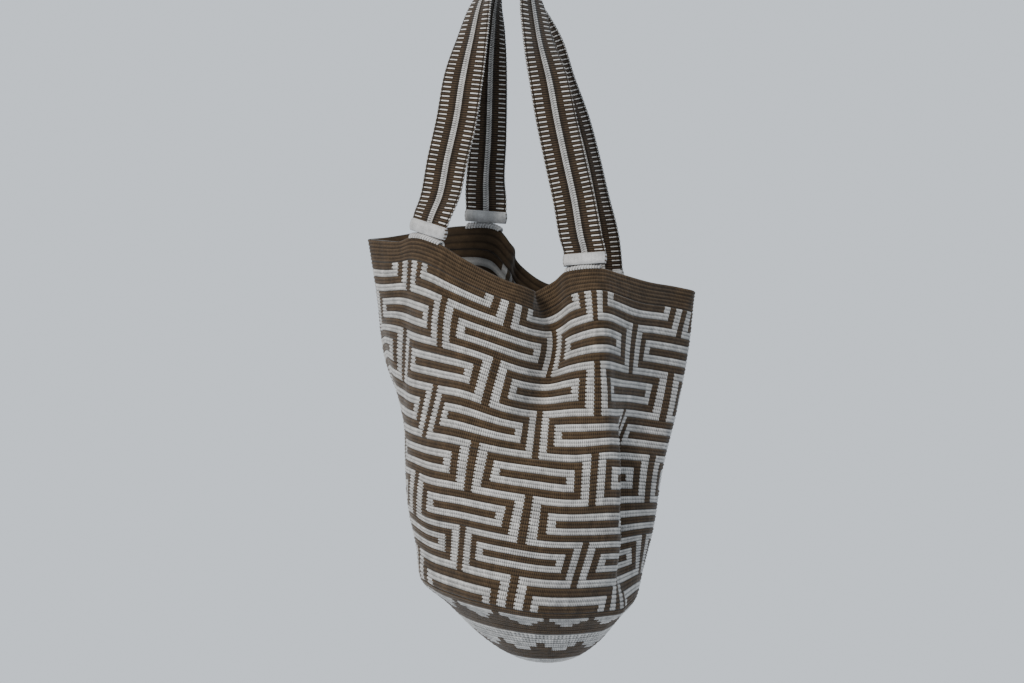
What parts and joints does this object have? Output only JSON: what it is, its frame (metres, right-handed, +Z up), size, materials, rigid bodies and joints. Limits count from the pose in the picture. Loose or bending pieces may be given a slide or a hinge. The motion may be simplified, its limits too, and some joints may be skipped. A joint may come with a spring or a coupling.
{
  "type": "crocheted bucket bag",
  "caption": "Slouchy crocheted bucket bag with a stepped two-colour pattern, hanging from woven carrying handles.",
  "frame": {"origin": "the point that the handles hang from, on the undersides of their tops and between them", "axes": "+Z up as the bag hangs, -Y towards the bag's front, +X to the right seen from the front"},
  "size_m": [0.264, 0.1932, 0.5595],
  "materials": {
    "brown_yarn": "crocheted dark brown cotton yarn with a pale cream pattern worked in",
    "strap_yarn": "woven dark brown cotton strap with pale warp stripes and dashes",
    "pale_yarn": "wound and sewn pale cream cotton yarn"
  },
  "bodies": {
    "root": {"bag_body": "brown_yarn", "handle_front": "strap_yarn", "handle_back": "strap_yarn", "whipping_front_left": "pale_yarn", "whipping_front_right": "pale_yarn", "whipping_back_left": "pale_yarn", "whipping_back_right": "pale_yarn", "seam_stitches_front_left": "pale_yarn", "seam_stitches_front_right": "pale_yarn", "seam_stitches_back_left": "pale_yarn", "seam_stitches_back_right": "pale_yarn"}
  },
  "joints": []
}
